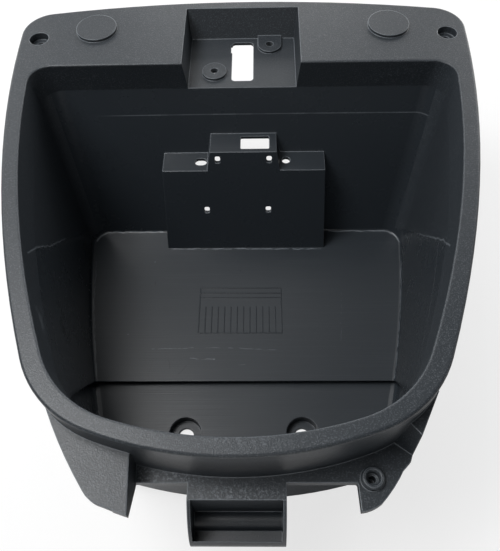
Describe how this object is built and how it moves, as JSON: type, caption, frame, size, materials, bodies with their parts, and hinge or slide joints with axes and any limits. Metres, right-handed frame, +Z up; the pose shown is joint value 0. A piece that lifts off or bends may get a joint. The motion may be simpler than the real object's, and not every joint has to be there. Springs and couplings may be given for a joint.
{
  "type": "scooter under-seat storage bucket",
  "caption": "Moulded plastic bucket that hangs under a scooter seat, with a wide rear deck, a lock pocket, floor fixings and a hinge tray at the nose.",
  "frame": {"origin": "centre of the bounding box in plan, on the plane of the feet under the floor", "axes": "+X to the right seen from the hinge end, +Y towards the rear lock end, +Z up out of the bucket's mouth"},
  "size_m": [0.3512, 0.4059, 0.1673],
  "materials": {
    "moulding": "spark-textured outside and rim, smoother inside"
  },
  "bodies": {
    "root": {"seat_bucket": "moulding"}
  },
  "joints": []
}
